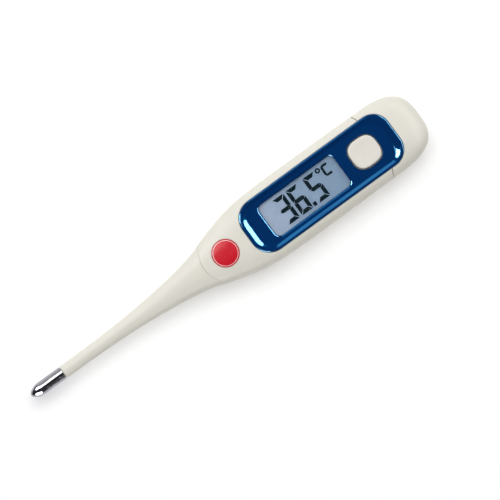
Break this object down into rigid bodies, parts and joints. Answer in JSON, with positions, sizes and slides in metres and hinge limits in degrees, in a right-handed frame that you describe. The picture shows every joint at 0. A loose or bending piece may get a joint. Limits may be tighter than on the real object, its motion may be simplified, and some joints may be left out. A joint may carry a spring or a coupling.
{
  "type": "digital thermometer",
  "caption": "Pen-shaped clinical thermometer: slim probe with a metal tip, framed display window, push button and a slide-off battery cover.",
  "frame": {"origin": "bottom centre of the whole object: on the surface it lies on, half way between the metal tip and the round tail", "axes": "+X from the metal tip to the battery cover, +Z out of the display, so the flat belly faces -Z, and +Y across the body"},
  "size_m": [0.135, 0.0214, 0.012],
  "materials": {
    "ivory_plastic": "satin moulded ABS",
    "button_plastic": "fine matte texture",
    "blue_plastic": "high gloss",
    "clear_plastic": "clear polished",
    "red_print": "gloss print",
    "polished_steel": "polished",
    "cell_steel": "nickel plated, satin",
    "spring_steel": "tin plated",
    "brass_sheet": "dull",
    "white_ceramic": "matte",
    "board_laminate": "solder resist over glass laminate",
    "black_epoxy": "moulded epoxy",
    "amber_epoxy": "glazed",
    "display_glass": "clear",
    "grey_film": "reflective film",
    "frame_plastic": "moulded",
    "conductive_rubber": "silicone with carbon layers",
    "silicone": "soft silicone",
    "red_wire": "insulation",
    "black_wire": "insulation"
  },
  "bodies": {
    "body": {"probe_sleeve": "ivory_plastic", "front_housing": "ivory_plastic", "rear_housing": "ivory_plastic", "bezel": "blue_plastic", "display_window": "clear_plastic", "badge": "red_print", "sensor_cap": "polished_steel", "battery": "cell_steel", "crystal_can": "cell_steel", "battery_contact_negative": "spring_steel", "battery_contact_positive": "spring_steel", "buzzer_spring_a": "spring_steel", "buzzer_spring_b": "spring_steel", "buzzer_plate": "brass_sheet", "buzzer_ceramic": "white_ceramic", "thermal_adhesive": "white_ceramic", "circuit_board": "board_laminate", "controller_blob": "black_epoxy", "reference_resistor": "black_epoxy", "switch_base": "black_epoxy", "filter_capacitor_a": "amber_epoxy", "filter_capacitor_b": "amber_epoxy", "thermistor": "amber_epoxy", "lcd_front_glass": "display_glass", "lcd_rear_glass": "display_glass", "lcd_front_polarizer": "grey_film", "lcd_reflector": "grey_film", "lcd_frame": "frame_plastic", "battery_holder": "frame_plastic", "zebra_strip_a": "conductive_rubber", "zebra_strip_b": "conductive_rubber", "button_membrane": "silicone", "cover_seal": "silicone", "thermistor_lead_a": "red_wire", "thermistor_lead_b": "black_wire"},
    "button": {"power_button": "button_plastic"},
    "plunger": {"switch_plunger": "spring_steel"},
    "cover": {"battery_cover": "ivory_plastic"}
  },
  "joints": [
    {"name": "button_press", "type": "slide", "parent": "body", "child": "button", "axis": [0, 0, -1], "range_m": [0, 0.0005], "stiffness_N_per_m": 1500, "deforming": ["button_membrane"]},
    {"name": "switch_press", "type": "slide", "parent": "body", "child": "plunger", "axis": [0, 0, -1], "range_m": [0, 0.0005]},
    {"name": "cover_slide", "type": "slide", "parent": "body", "child": "cover", "axis": [1, 0, 0], "range_m": [0, 0.02]}
  ],
  "couplings": [
    {"joint": "switch_press", "follows": "button_press", "ratio": 1}
  ]
}
